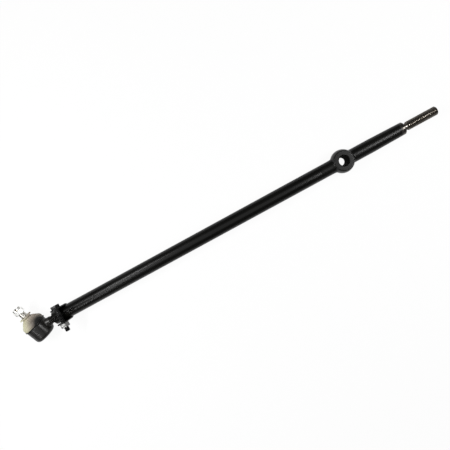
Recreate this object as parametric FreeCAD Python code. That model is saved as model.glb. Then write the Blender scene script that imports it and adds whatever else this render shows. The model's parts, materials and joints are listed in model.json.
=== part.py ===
import FreeCAD, Part
import math
import os

# Steering drag link: a slotted steel tube with a forged tapered eye and a male
# threaded end, and a ball-joint rod end screwed and clamped into the slotted end.
# Millimetres. Origin at the centre of the ball joint, +X along the link towards
# the male thread, +Z along the eye's bore, out of its wide mouth.

# Link tube
tube_r = 14.3
tube_bore_r = 7.3
tube_start_x = 41.0
tube_end_x = 664.0
tube_chamfer = 1.0
slot_width = 5.5
slot_length = 52.0

# Taper of the eye's hole and of the ball stud, radius over length
taper_ratio = 1.0 / 16.0

# Forged eye, its place counted from the tube's end
eye_from_tube = 50.0
eye_mid_r = 24.2
eye_face_r = 20.6
eye_half_height = 16.0
eye_hole_small_r = 8.15
eye_mouth_chamfer = 1.8
eye_back_chamfer = 0.6
eye_edge_round = 1.6
eye_web_half_height = 15.2
eye_web_r = 16.4
eye_web_spread = 12.4
web_reach_tube_side = 28.0
web_reach_bar_side = 25.0
spigot_length = 22.0
weld_round = 0.4

# Bar and male thread beyond the eye, their places counted from its centre
bar_taper_from_eye = 65.0
bar_end_from_eye = 140.0
bar_end_r = 12.9
bar_chamfer = 2.6
neck_r = 6.9
neck_length = 5.5
male_thread_r = 9.0
male_thread_length = 66.5
male_thread_chamfer = 1.6

# Rod end shank, its root and collar counted from the housing's side
shank_r = 7.94
shank_end_x = 90.0
shank_chamfer = 1.4
shank_collar_r = 8.9
shank_collar_past_side = 8.0
shank_collar_length = 3.0
shank_root_depth = 9.0
shank_root_r = 10.5
shank_root_hollow = 0.5
thread_fit = 0.05

# Ball: the stud's half-ball head and the half ball round its neck
ball_r = 14.0
ball_fit = 0.1
half_ball_flat = 4.0
half_ball_wall = 5.8
half_ball_bottom = -1.2
head_gap = 0.3
head_flat = 1.6

# Socket: the housing's axis leans back from the shank and lifts off the level
socket_lean_deg = 15.0
socket_lift_deg = 14.0
seat_wall = 3.6
housing_wall = 5.4
housing_top = 7.0
housing_below_ball = 11.0
housing_bottom_round = 7.5
housing_top_chamfer = 1.2
collar_inset = 2.4
collar_height = 3.6
mouth_past_ball = 0.6
seat_top = 5.6
cavity_top = -1.0
cover_ledge = 1.6
cover_thickness = 2.4
cover_dish = 1.0
cover_rim = 3.0
cover_slope = 2.0
lip_thickness = 2.6
lip_width = 3.0
seat_upper = -3.0
seat_fit = 0.1
spring_clearance = 2.6
spring_hole_r = 6.5
spring_thickness = 1.5
spring_rise = 1.3

# Ball stud above its head
stud_fit = 0.05
stud_neck_above_ball = 1.0
stud_relief = 0.6
stud_relief_slope = 2.0
taper_start = 19.0
taper_end = 44.0
taper_end_r = 6.5
thread_r = 6.35
stud_tip = 58.0
stud_chamfer = 1.2
cotter_hole_r = 1.9

# Dust boot and its ring
boot_above_housing = 0.4
boot_foot_wall = 2.1
boot_wall = 1.5
boot_clearance = 0.3
boot_side_bulge = 1.6
boot_shoulder_inset = 2.4
boot_shoulder_at = 20.5
boot_cone_bulge = 0.25
boot_neck_r = 10.6
boot_neck_at = 29.8
boot_neck_inset = 2.2
boot_lip_r = 13.3
boot_lip_slope = 0.5
boot_skirt = 2.4
boot_lip_bottom = 30.9
boot_lip_top = 32.6
ring_thickness = 1.1
ring_height = 2.0

# Castle nut
castle_flats = 19.05
castle_hex_height = 9.4
castle_crown_r = 8.5
castle_height = 14.3
castle_slot_width = 3.4
castle_slots = 6
castle_bottom = 44.8

# Clamp
strap_thickness = 2.6
strap_width = 25.0
strap_fit = 0.05
clamp_from_tube_start = 20.5
bolt_r = 5.0
bolt_above_tube = 1.2
bolt_hole_clearance = 0.4
bolt_past_nut = 9.1
bolt_head_flats = 17.0
bolt_head_height = 6.4
bolt_tip_chamfer = 1.2
clamp_nut_flats = 17.0
clamp_nut_height = 9.0
hex_chamfer_deg = 30.0
hex_chamfer_share = 0.97
seat_gap = 0.02

# Spare length of the tools that cut holes and slots
overcut = 1.0

# Sizes that follow from the ones above
eye_x = tube_end_x + eye_from_tube
bar_taper_start_x = eye_x + bar_taper_from_eye
bar_end_x = eye_x + bar_end_from_eye
clamp_x = tube_start_x + clamp_from_tube_start
bolt_z = tube_r + bolt_above_tube + bolt_r
strap_outer = tube_r + strap_fit + strap_thickness
bolt_length = 2 * (strap_outer + seat_gap) + clamp_nut_height + bolt_past_nut
thread_start_x = bar_end_x + neck_length
link_tip_x = thread_start_x + male_thread_length
half_ball_top = ball_r - half_ball_flat
stud_neck_r = ball_r - half_ball_wall
head_bottom = head_flat - ball_r
cavity_r = ball_r + seat_wall
cover_r = cavity_r + cover_ledge
housing_r = cavity_r + housing_wall
housing_bottom = -ball_r - housing_below_ball
collar_r = housing_r - collar_inset
collar_top = housing_top + collar_height
mouth_r = ball_r + mouth_past_ball
shank_root_x = housing_r - shank_root_depth
shank_collar_end_x = housing_r + shank_collar_past_side
boot_bottom = housing_top + boot_above_housing
boot_base_r = collar_r + boot_clearance + boot_foot_wall
boot_shoulder_r = boot_base_r - boot_shoulder_inset
spring_r = cavity_r - spring_clearance
cover_top = housing_bottom + lip_thickness + cover_thickness
spring_low = cover_top + seat_fit
seat_lower = spring_low + spring_thickness + spring_rise + seat_fit
eye_hole_large_r = eye_hole_small_r + 2 * eye_half_height * taper_ratio

X_AXIS = FreeCAD.Vector(1, 0, 0)
Y_AXIS = FreeCAD.Vector(0, 1, 0)
Z_AXIS = FreeCAD.Vector(0, 0, 1)
ORIGIN = FreeCAD.Vector(0, 0, 0)


def socket_direction():
    """Direction of the socket's axis, from the closed end out through the boot."""
    lean = math.radians(socket_lean_deg)
    lift = math.radians(socket_lift_deg)
    return FreeCAD.Vector(-math.sin(lean) * math.cos(lift), math.cos(lean) * math.cos(lift), math.sin(lift))


def into_socket(shape):
    """A shape made about +Z, turned onto the socket's axis."""
    placed = shape.copy()
    turn = FreeCAD.Placement(ORIGIN, FreeCAD.Rotation(Z_AXIS, socket_direction()))
    placed.Placement = turn.multiply(shape.Placement)
    return placed


def revolve_z(points):
    """A closed outline of (radius, height) points turned about the Z axis."""
    corners = [FreeCAD.Vector(r, 0, z) for r, z in points]
    face = Part.Face(Part.makePolygon(corners + corners[:1]))
    return face.revolve(ORIGIN, Z_AXIS, 360)


def revolve_edges(edges, axis):
    """A closed chain of edges turned about one of the axes."""
    face = Part.Face(Part.Wire(edges))
    return face.revolve(ORIGIN, axis, 360)


def revolve_x(points):
    """A closed outline of (x, radius) points turned about the X axis."""
    corners = [FreeCAD.Vector(x, 0, r) for x, r in points]
    face = Part.Face(Part.makePolygon(corners + corners[:1]))
    return face.revolve(ORIGIN, X_AXIS, 360)


def line(a, b):
    return Part.LineSegment(a, b).toShape()


def arc(a, b, c):
    return Part.Arc(a, b, c).toShape()


def rod_x(radius, start, end):
    return Part.makeCylinder(radius, end - start, FreeCAD.Vector(start, 0, 0), X_AXIS)


def hexagon(flats, height):
    """A hexagonal prism standing on z = 0."""
    corner_r = flats / math.sqrt(3)
    corners = []
    for i in range(6):
        turn = math.radians(60 * i)
        corners.append(FreeCAD.Vector(corner_r * math.cos(turn), corner_r * math.sin(turn), 0))
    return Part.Face(Part.makePolygon(corners + corners[:1])).extrude(Z_AXIS * height)


def hex_cone(flats, height):
    """The turned cone that takes the corners off the upper end of a hexagon."""
    flat_r = flats / 2 * hex_chamfer_share
    corner_r = flats
    slope = math.tan(math.radians(hex_chamfer_deg))
    low = height - (corner_r - flat_r) * slope
    foot = low - height
    return revolve_z([(0, foot), (corner_r, foot), (corner_r, low), (flat_r, height), (0, height)])


def make_link_tube():
    """Heavy-wall tube, tapped and slotted at the rod end's side."""
    thread_bore = shank_r + thread_fit
    outer = revolve_x([
        (tube_start_x, 0),
        (tube_start_x, tube_r - tube_chamfer),
        (tube_start_x + tube_chamfer, tube_r),
        (tube_end_x - weld_round, tube_r),
        (tube_end_x, tube_r - weld_round),
        (tube_end_x, 0),
    ])
    slot_end_x = tube_start_x + slot_length
    tapped = rod_x(thread_bore, tube_start_x - overcut, slot_end_x + thread_bore)
    bore = rod_x(tube_bore_r, tube_start_x - overcut, tube_end_x + overcut)
    half = slot_width / 2
    depth = tube_r + overcut
    mouth = FreeCAD.Vector(tube_start_x - overcut, -half, 0)
    slot = Part.makeBox(slot_length - half + overcut, slot_width, depth, mouth)
    slot_round = Part.makeCylinder(half, depth, FreeCAD.Vector(slot_end_x - half, 0, 0))
    return outer.cut([tapped, bore, slot, slot_round])


def eye_web(reach, direction):
    """The flare that runs the bar's round section out to the width of the eye."""
    arm = FreeCAD.Vector(eye_x + direction * reach, 0, tube_r)
    wide = FreeCAD.Vector(eye_x + direction * eye_web_spread, 0, eye_web_r)
    run = abs(arm.x - wide.x)
    rise = wide.z - arm.z
    arc_r = (run ** 2 + rise ** 2) / (2 * rise)
    half_turn = math.asin(run / arc_r) / 2
    middle = FreeCAD.Vector(
        arm.x - direction * arc_r * math.sin(half_turn), 0, arm.z + arc_r * (1 - math.cos(half_turn)))
    foot_arm = FreeCAD.Vector(arm.x, 0, 0)
    foot_wide = FreeCAD.Vector(wide.x, 0, 0)
    flare = revolve_edges([
        line(foot_arm, arm), arc(arm, middle, wide), line(wide, foot_wide), line(foot_wide, foot_arm),
    ], X_AXIS)
    slab = Part.makeBox(
        2 * reach, 4 * eye_mid_r, 2 * eye_web_half_height,
        FreeCAD.Vector(eye_x - reach, -2 * eye_mid_r, -eye_web_half_height))
    return flare.common(slab)


def make_eye_forging():
    """Forged eye with its spigot, bar and male thread, in one piece."""
    low = FreeCAD.Vector(eye_face_r, 0, -eye_half_height)
    middle = FreeCAD.Vector(eye_mid_r, 0, 0)
    high = FreeCAD.Vector(eye_face_r, 0, eye_half_height)
    foot = FreeCAD.Vector(0, 0, -eye_half_height)
    head = FreeCAD.Vector(0, 0, eye_half_height)
    barrel = revolve_edges([
        line(foot, low), arc(low, middle, high), line(high, head), line(head, foot),
    ], Z_AXIS)
    rims = [edge for edge in barrel.Edges if edge.Length > eye_face_r and edge.BoundBox.ZLength < seat_gap]
    barrel = barrel.makeFillet(eye_edge_round, rims)
    barrel.translate(FreeCAD.Vector(eye_x, 0, 0))
    chamfer_x = bar_end_x - bar_chamfer
    bar = revolve_x([
        (tube_end_x - spigot_length, 0),
        (tube_end_x - spigot_length, tube_bore_r - seat_gap),
        (tube_end_x + seat_gap, tube_bore_r - seat_gap),
        (tube_end_x + seat_gap, tube_r - weld_round),
        (tube_end_x + weld_round, tube_r),
        (bar_taper_start_x, tube_r),
        (chamfer_x, bar_end_r),
        (bar_end_x, bar_end_r - bar_chamfer),
        (bar_end_x, neck_r),
        (thread_start_x, neck_r),
        (thread_start_x + male_thread_chamfer, male_thread_r),
        (link_tip_x - male_thread_chamfer, male_thread_r),
        (link_tip_x, male_thread_r - male_thread_chamfer),
        (link_tip_x, 0),
    ])
    blank = bar.fuse([barrel, eye_web(web_reach_tube_side, -1), eye_web(web_reach_bar_side, 1)])
    mouth_r = eye_hole_large_r + eye_mouth_chamfer
    back_r = eye_hole_small_r + eye_back_chamfer
    outside = eye_half_height + overcut
    hole = revolve_z([
        (0, -outside),
        (back_r + overcut, -outside),
        (eye_hole_small_r + eye_back_chamfer * taper_ratio, -eye_half_height + eye_back_chamfer),
        (eye_hole_large_r - eye_mouth_chamfer * taper_ratio, eye_half_height - eye_mouth_chamfer),
        (mouth_r + overcut, outside),
        (0, outside),
    ])
    hole.translate(FreeCAD.Vector(eye_x, 0, 0))
    return blank.cut(hole).removeSplitter()


def off_chord(a, b, bulge):
    """Middle point of an arc from a to b in the XZ plane that stands off its chord by bulge, upwards."""
    chord = b - a
    side = FreeCAD.Vector(-chord.z, 0, chord.x).normalize()
    if side.z < 0:
        side = side * -1
    return (a + b) * 0.5 + side * bulge


def make_socket_housing():
    """Forged drum, open at the closed end for assembly, with its threaded shank."""
    corner = housing_bottom_round
    side_low = FreeCAD.Vector(housing_r, 0, housing_bottom + corner)
    corner_mid = FreeCAD.Vector(
        housing_r - corner * (1 - math.cos(math.pi / 4)), 0,
        housing_bottom + corner * (1 - math.sin(math.pi / 4)))
    foot_out = FreeCAD.Vector(housing_r - corner, 0, housing_bottom)
    foot_in = FreeCAD.Vector(0, 0, housing_bottom)
    top_in = FreeCAD.Vector(0, 0, collar_top)
    collar_out = FreeCAD.Vector(collar_r, 0, collar_top)
    collar_foot = FreeCAD.Vector(collar_r, 0, housing_top)
    shoulder = FreeCAD.Vector(housing_r - housing_top_chamfer, 0, housing_top)
    side_high = FreeCAD.Vector(housing_r, 0, housing_top - housing_top_chamfer)
    drum = revolve_edges([
        line(foot_in, foot_out), arc(foot_out, corner_mid, side_low), line(side_low, side_high),
        line(side_high, shoulder), line(shoulder, collar_foot), line(collar_foot, collar_out),
        line(collar_out, top_in), line(top_in, foot_in),
    ], Z_AXIS)
    root = FreeCAD.Vector(shank_root_x, 0, shank_root_r)
    root_end = FreeCAD.Vector(shank_collar_end_x - shank_collar_length, 0, shank_collar_r)
    root_mid = off_chord(root, root_end, -shank_root_hollow)
    collar_end = FreeCAD.Vector(shank_collar_end_x, 0, shank_collar_r)
    thread_root = FreeCAD.Vector(shank_collar_end_x, 0, shank_r)
    thread_end = FreeCAD.Vector(shank_end_x - shank_chamfer, 0, shank_r)
    tip = FreeCAD.Vector(shank_end_x, 0, shank_r - shank_chamfer)
    tip_foot = FreeCAD.Vector(shank_end_x, 0, 0)
    foot = FreeCAD.Vector(shank_root_x, 0, 0)
    shank = revolve_edges([
        line(foot, root), arc(root, root_mid, root_end), line(root_end, collar_end),
        line(collar_end, thread_root), line(thread_root, thread_end), line(thread_end, tip),
        line(tip, tip_foot), line(tip_foot, foot),
    ], X_AXIS)
    return into_socket(drum).fuse(shank).cut(into_socket(housing_cavity())).removeSplitter()


def housing_cavity():
    """The bored space for the cover, spring, seat and ball, with the mouth above."""
    sphere = Part.makeSphere(ball_r + ball_fit)
    above = Part.makeBox(
        4 * ball_r, 4 * ball_r, seat_top - cavity_top,
        FreeCAD.Vector(-2 * ball_r, -2 * ball_r, cavity_top))
    upper_seat = sphere.common(above)
    seat_mouth_r = math.sqrt((ball_r + ball_fit) ** 2 - seat_top ** 2)
    outside = collar_top + overcut
    mouth = revolve_z([
        (0, seat_top), (seat_mouth_r, seat_top), (mouth_r, collar_top), (mouth_r, outside), (0, outside)])
    lip_r = cover_r - lip_width
    below = housing_bottom - overcut
    bored = revolve_z([
        (0, below),
        (lip_r, below),
        (lip_r, housing_bottom + lip_thickness),
        (cover_r + seat_gap, housing_bottom + lip_thickness),
        (cover_r + seat_gap, cover_top + seat_gap),
        (cavity_r, cover_top + seat_gap),
        (cavity_r, cavity_top),
        (0, cavity_top),
    ])
    return bored.fuse([upper_seat, mouth])


def make_end_cover():
    """Pressed disc that the housing's rolled lip holds, dished towards the spring."""
    flat_low = housing_bottom + lip_thickness + seat_gap
    flat_high = flat_low + cover_thickness - seat_gap
    dish_r = cover_r - lip_width - cover_rim
    slope_r = dish_r - cover_slope
    return into_socket(revolve_z([
        (0, flat_low - cover_dish), (slope_r, flat_low - cover_dish),
        (dish_r, flat_low), (cover_r, flat_low),
        (cover_r, flat_high), (dish_r, flat_high),
        (slope_r, flat_high - cover_dish), (0, flat_high - cover_dish),
    ]))


def make_disc_spring():
    """Coned spring washer that presses the seat up against the ball."""
    return into_socket(revolve_z([
        (spring_hole_r, spring_low + spring_rise),
        (spring_r, spring_low),
        (spring_r, spring_low + spring_thickness),
        (spring_hole_r, spring_low + spring_thickness + spring_rise),
    ]))


def make_thrust_seat():
    """Cup under the ball."""
    cup = revolve_z([
        (0, seat_lower),
        (cavity_r - seat_fit, seat_lower),
        (cavity_r - seat_fit, seat_upper),
        (0, seat_upper),
    ])
    return into_socket(cup.cut(Part.makeSphere(ball_r + ball_fit)))


def make_half_ball_bearing():
    """Half ball with the stud's neck running through it."""
    sphere = Part.makeSphere(ball_r)
    zone_height = half_ball_top - half_ball_bottom
    zone = Part.makeCylinder(2 * ball_r, zone_height, FreeCAD.Vector(0, 0, half_ball_bottom))
    neck = Part.makeCylinder(stud_neck_r + stud_fit, 4 * ball_r, FreeCAD.Vector(0, 0, -2 * ball_r))
    return into_socket(sphere.common(zone).cut(neck))


def make_ball_stud():
    """Stud with its half-ball head, taper, thread and cotter hole."""
    head_top = half_ball_bottom - head_gap
    zone = Part.makeCylinder(2 * ball_r, head_top - head_bottom, FreeCAD.Vector(0, 0, head_bottom))
    head = Part.makeSphere(ball_r).common(zone)
    taper_start_r = taper_end_r + (taper_end - taper_start) * taper_ratio
    neck_top = half_ball_top + stud_neck_above_ball
    relief_r = taper_start_r - stud_relief
    stem = revolve_z([
        (0, (head_top + head_bottom) / 2),
        (stud_neck_r, (head_top + head_bottom) / 2),
        (stud_neck_r, neck_top),
        (relief_r, neck_top + stud_relief_slope),
        (relief_r, taper_start - stud_relief),
        (taper_start_r, taper_start),
        (taper_end_r, taper_end),
        (thread_r, taper_end + (taper_end_r - thread_r)),
        (thread_r, stud_tip - stud_chamfer),
        (thread_r - stud_chamfer, stud_tip),
        (0, stud_tip),
    ])
    hole_z = castle_bottom + (castle_hex_height + castle_height) / 2
    hole = Part.makeCylinder(cotter_hole_r, 4 * thread_r, FreeCAD.Vector(-2 * thread_r, 0, hole_z), X_AXIS)
    return into_socket(head.fuse(stem).cut(hole).removeSplitter())


def make_dust_boot():
    """Moulded boot: a bulged side and a cone that closes on the stud with a flared lip."""
    inner_neck_at = boot_neck_at - boot_neck_inset
    inner_neck_r = taper_end_r + (taper_end - inner_neck_at) * taper_ratio + boot_clearance
    inner_base_r = collar_r + boot_clearance

    def at(radius, height):
        return FreeCAD.Vector(radius, 0, height)

    skirt_top = at(boot_base_r, boot_bottom + boot_skirt)
    shoulder = at(boot_shoulder_r, boot_shoulder_at)
    neck = at(boot_neck_r, boot_neck_at)
    over_collar = at(inner_base_r, collar_top + boot_clearance)
    inner_shoulder = at(boot_shoulder_r - boot_wall, boot_shoulder_at - boot_wall)
    inner_neck = at(inner_neck_r, inner_neck_at)
    side_mid = (skirt_top + shoulder) * 0.5 + X_AXIS * boot_side_bulge
    inner_mid = at(side_mid.x - boot_wall, (over_collar.z + inner_shoulder.z) / 2)
    outline = [
        at(inner_base_r, boot_bottom), at(boot_base_r, boot_bottom), skirt_top,
    ]
    lip = [
        neck, at(boot_neck_r, boot_lip_bottom), at(boot_lip_r, boot_lip_bottom + boot_lip_slope),
        at(boot_lip_r, boot_lip_top), at(inner_neck_r, boot_lip_top), inner_neck, inner_shoulder,
    ]
    edges = [line(a, b) for a, b in zip(outline, outline[1:])]
    edges.append(arc(skirt_top, side_mid, shoulder))
    edges.append(arc(shoulder, off_chord(shoulder, neck, boot_cone_bulge), neck))
    edges += [line(a, b) for a, b in zip(lip, lip[1:])]
    edges.append(arc(inner_shoulder, inner_mid, over_collar))
    edges.append(line(over_collar, outline[0]))
    return into_socket(revolve_edges(edges, Z_AXIS))


def make_boot_ring():
    """Flat ring that grips the foot of the boot on the housing's collar."""
    inner = boot_base_r + boot_clearance
    outer = inner + ring_thickness
    low = boot_bottom
    high = low + ring_height
    return into_socket(revolve_z([(inner, low), (outer, low), (outer, high), (inner, high)]))


def make_castle_nut():
    """Slotted nut on the stud's thread, its crown outwards."""
    body = hexagon(castle_flats, castle_hex_height).common(hex_cone(castle_flats, castle_hex_height))
    crown = Part.makeCylinder(castle_crown_r, castle_height)
    nut = body.fuse(crown)
    for i in range(castle_slots // 2):
        slot = Part.makeBox(
            4 * castle_crown_r, castle_slot_width, castle_height,
            FreeCAD.Vector(-2 * castle_crown_r, -castle_slot_width / 2, castle_hex_height))
        slot.rotate(ORIGIN, Z_AXIS, 360 / castle_slots * i)
        nut = nut.cut(slot)
    bore_start = FreeCAD.Vector(0, 0, -castle_height / 2)
    bore = Part.makeCylinder(thread_r + seat_gap, 2 * castle_height, bore_start)
    nut = nut.cut(bore)
    nut.translate(FreeCAD.Vector(0, 0, castle_bottom))
    return into_socket(nut)


def make_clamp_strap():
    """U-shaped strap under the tube, its legs standing up past it for the bolt."""
    inner = tube_r + strap_fit
    top = bolt_z + strap_width / 2
    start = FreeCAD.Vector(clamp_x - strap_width / 2, 0, 0)
    ring = Part.makeCylinder(strap_outer, strap_width, start, X_AXIS)
    legs = Part.makeBox(strap_width, 2 * strap_outer, top, start - Y_AXIS * strap_outer)
    hollow = Part.makeCylinder(inner, strap_width, start, X_AXIS)
    gap = Part.makeBox(strap_width, 2 * inner, top, start - Y_AXIS * inner)
    strap = ring.fuse(legs).cut([hollow, gap])
    tab = Part.makeCylinder(
        strap_width / 2, 4 * strap_outer, FreeCAD.Vector(clamp_x, -2 * strap_outer, bolt_z), Y_AXIS)
    below = Part.makeBox(
        strap_width, 4 * strap_outer, bolt_z + 2 * strap_outer,
        FreeCAD.Vector(start.x, -2 * strap_outer, -2 * strap_outer))
    hole = Part.makeCylinder(
        bolt_r + bolt_hole_clearance, 4 * strap_outer,
        FreeCAD.Vector(clamp_x, -2 * strap_outer, bolt_z), Y_AXIS)
    return strap.common(tab.fuse(below)).cut(hole).removeSplitter()


def onto_bolt(shape, y, direction):
    """A shape made about +Z from z = 0, laid on the bolt's axis from y."""
    placed = shape.copy()
    sideways = FreeCAD.Rotation(Z_AXIS, Y_AXIS * direction)
    turn = FreeCAD.Placement(FreeCAD.Vector(clamp_x, y, bolt_z), sideways)
    placed.Placement = turn.multiply(shape.Placement)
    return placed


def make_clamp_bolt():
    """Hexagon-headed bolt across the strap's legs, above the tube."""
    head = hexagon(bolt_head_flats, bolt_head_height).common(hex_cone(bolt_head_flats, bolt_head_height))
    head = onto_bolt(head, strap_outer + seat_gap, 1)
    shaft = revolve_z([
        (0, 0), (bolt_r, 0), (bolt_r, bolt_length - bolt_tip_chamfer),
        (bolt_r - bolt_tip_chamfer, bolt_length), (0, bolt_length)])
    return head.fuse(onto_bolt(shaft, strap_outer + seat_gap, -1)).removeSplitter()


def make_clamp_nut():
    """Plain hexagon nut on the clamp bolt."""
    nut = hexagon(clamp_nut_flats, clamp_nut_height).common(hex_cone(clamp_nut_flats, clamp_nut_height))
    bore_start = FreeCAD.Vector(0, 0, -clamp_nut_height / 2)
    nut = nut.cut(Part.makeCylinder(bolt_r + seat_gap, 2 * clamp_nut_height, bore_start))
    return onto_bolt(nut, -strap_outer - seat_gap, -1)


os.makedirs("parts", exist_ok=True)
PIECES = {
    "link_tube": make_link_tube,
    "eye_forging": make_eye_forging,
    "clamp_strap": make_clamp_strap,
    "clamp_bolt": make_clamp_bolt,
    "clamp_nut": make_clamp_nut,
    "socket_housing": make_socket_housing,
    "end_cover": make_end_cover,
    "disc_spring": make_disc_spring,
    "thrust_seat": make_thrust_seat,
    "half_ball_bearing": make_half_ball_bearing,
    "ball_stud": make_ball_stud,
    "castle_nut": make_castle_nut,
    "dust_boot": make_dust_boot,
    "boot_ring": make_boot_ring,
}
for name, make in PIECES.items():
    shape = make()
    shape.exportStep("parts/" + name + ".step")
    box = shape.optimalBoundingBox()
    spans = [box.XMin, box.XMax, box.YMin, box.YMax, box.ZMin, box.ZMax]
    print(name, shape.isValid(), len(shape.Solids), round(shape.Volume), [round(v, 1) for v in spans])
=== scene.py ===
import json
import math
import bpy
from mathutils import Matrix, Vector


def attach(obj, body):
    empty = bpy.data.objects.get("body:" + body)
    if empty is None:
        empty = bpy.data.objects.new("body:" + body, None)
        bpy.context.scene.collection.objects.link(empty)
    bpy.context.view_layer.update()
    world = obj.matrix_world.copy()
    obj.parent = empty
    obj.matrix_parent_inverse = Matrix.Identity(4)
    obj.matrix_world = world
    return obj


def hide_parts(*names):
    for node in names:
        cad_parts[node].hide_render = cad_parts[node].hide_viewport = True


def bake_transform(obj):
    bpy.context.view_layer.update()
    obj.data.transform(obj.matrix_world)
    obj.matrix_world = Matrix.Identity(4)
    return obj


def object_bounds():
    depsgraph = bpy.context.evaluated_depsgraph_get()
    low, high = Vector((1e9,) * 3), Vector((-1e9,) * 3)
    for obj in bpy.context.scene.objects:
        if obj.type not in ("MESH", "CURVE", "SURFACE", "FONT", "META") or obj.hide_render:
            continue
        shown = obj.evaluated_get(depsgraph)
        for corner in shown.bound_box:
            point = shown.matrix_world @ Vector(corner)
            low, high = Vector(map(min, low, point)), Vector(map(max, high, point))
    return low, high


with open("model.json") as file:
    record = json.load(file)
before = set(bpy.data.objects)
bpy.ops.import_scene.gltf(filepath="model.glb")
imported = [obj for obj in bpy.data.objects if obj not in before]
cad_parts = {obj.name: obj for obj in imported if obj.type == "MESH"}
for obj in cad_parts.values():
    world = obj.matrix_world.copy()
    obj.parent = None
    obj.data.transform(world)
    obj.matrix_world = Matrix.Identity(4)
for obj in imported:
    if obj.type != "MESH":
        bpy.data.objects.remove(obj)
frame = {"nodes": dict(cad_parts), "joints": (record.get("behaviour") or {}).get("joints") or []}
cad_low, cad_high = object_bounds()


# Link tube: 28.6 mm drawn steel tube with a heavy wall, sawn to length, chamfered,
# then tapped and slotted at the rod end's side. Sprayed satin black.

MM = 0.001
tube_r = 14.3 * MM
tube_start_x = 41.0 * MM
tube_end_x = 664.0 * MM
tube_chamfer = 1.0 * MM
tube_bore_r = 7.3 * MM
tapped_r = 7.99 * MM
tapped_end_x = 101.0 * MM
slot_width = 5.5 * MM
slot_end_x = 93.0 * MM


def deselect():
    if bpy.context.mode != "OBJECT":
        bpy.ops.object.mode_set(mode="OBJECT")
    bpy.ops.object.select_all(action="DESELECT")


def pick(piece):
    """Makes a piece the only one selected, and the active one."""
    deselect()
    piece.select_set(True)
    bpy.context.view_layer.objects.active = piece


def modify(piece, kind, **settings):
    """Adds a modifier with its settings and applies it."""
    pick(piece)
    modifier = piece.modifiers.new(kind.lower(), kind)
    for name, value in settings.items():
        setattr(modifier, name, value)
    bpy.ops.object.modifier_apply(modifier=modifier.name)


def combine(piece, other, operation):
    """Cuts, joins or crosses a piece with another one, which is used up."""
    modify(piece, "BOOLEAN", operation=operation, solver="EXACT", object=other)
    bpy.data.objects.remove(other)


def place(piece, matrix):
    """Moves and turns a piece, and puts the move into its mesh."""
    pick(piece)
    piece.matrix_world = matrix @ piece.matrix_world
    bpy.ops.object.transform_apply(location=True, rotation=True, scale=True)


def chain(name, points):
    """A line of edges drawn by extruding one vertex from point to point."""
    deselect()
    bpy.ops.mesh.primitive_plane_add(size=MM, location=points[0])
    piece = bpy.context.object
    piece.name = name
    bpy.ops.object.transform_apply(location=True)
    bpy.ops.object.mode_set(mode="EDIT")
    bpy.ops.mesh.select_mode(type="VERT")
    bpy.ops.mesh.merge(type="CENTER")
    for start, end in zip(points, points[1:]):
        bpy.ops.mesh.extrude_region_move(TRANSFORM_OT_translate={"value": end - start})
    return piece


def turned(name, outline, axis="Z", steps=96):
    """A turned piece: an outline of (along, radius) points, spun round the axis."""
    if axis == "X":
        points = [Vector((along, 0, radius)) for along, radius in outline]
        spin_axis = (1, 0, 0)
    else:
        points = [Vector((radius, 0, along)) for along, radius in outline]
        spin_axis = (0, 0, 1)
    piece = chain(name, points)
    bpy.ops.mesh.select_all(action="SELECT")
    bpy.ops.mesh.spin(steps=steps, angle=math.tau, center=(0, 0, 0), axis=spin_axis)
    bpy.ops.mesh.select_all(action="SELECT")
    bpy.ops.mesh.remove_doubles(threshold=MM / 1000)
    bpy.ops.mesh.normals_make_consistent(inside=False)
    bpy.ops.object.mode_set(mode="OBJECT")
    return piece


def block(name, low, high):
    """A rectangular block between two corners."""
    deselect()
    size = [b - a for a, b in zip(low, high)]
    middle = [(a + b) / 2 for a, b in zip(low, high)]
    bpy.ops.mesh.primitive_cube_add(size=1, location=middle, scale=size)
    bpy.ops.object.transform_apply(location=True, scale=True)
    piece = bpy.context.object
    piece.name = name
    return piece


def round_edges(piece, wanted, offset, segments):
    """Rounds the edges that a test on their two ends picks out."""
    pick(piece)
    bpy.ops.object.mode_set(mode="EDIT")
    bpy.ops.mesh.select_mode(type="EDGE")
    bpy.ops.mesh.select_all(action="DESELECT")
    bpy.ops.object.mode_set(mode="OBJECT")
    for edge in piece.data.edges:
        a, b = (piece.data.vertices[i].co for i in edge.vertices)
        edge.select = wanted(a, b)
    bpy.ops.object.mode_set(mode="EDIT")
    bpy.ops.mesh.bevel(offset=offset, segments=segments, affect="EDGES")
    bpy.ops.object.mode_set(mode="OBJECT")


def soften(piece, width, degrees=35):
    """Breaks the sharp edges, as tumbling or wear does, and shades the rest smooth."""
    modify(piece, "BEVEL", width=width, segments=2, limit_method="ANGLE", angle_limit=math.radians(degrees))
    pick(piece)
    bpy.ops.object.shade_smooth_by_angle(angle=math.radians(degrees))


def node(material, kind, **inputs):
    """Adds a shader node and sets its inputs by name."""
    made = material.node_tree.nodes.new(kind)
    for name, value in inputs.items():
        made.inputs[name.replace("_", " ")].default_value = value
    return made


def new_material(name, **settings):
    """A material whose uniform values sit on the shader's own sockets."""
    material = bpy.data.materials.new(name)
    material.use_nodes = True
    shader = material.node_tree.nodes["Principled BSDF"]
    for socket, value in settings.items():
        shader.inputs[socket.replace("_", " ")].default_value = value
    return material, shader


def grain(material, scale, detail=4.0, stretch=(1, 1, 1)):
    """Noise in the piece's own place, stretched along its axes."""
    links = material.node_tree.links
    spot = node(material, "ShaderNodeTexCoord")
    mapping = node(material, "ShaderNodeMapping", Scale=stretch)
    noise = node(material, "ShaderNodeTexNoise", Scale=scale, Detail=detail)
    links.new(spot.outputs["Object"], mapping.inputs["Vector"])
    links.new(mapping.outputs["Vector"], noise.inputs["Vector"])
    return noise.outputs["Fac"]


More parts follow.
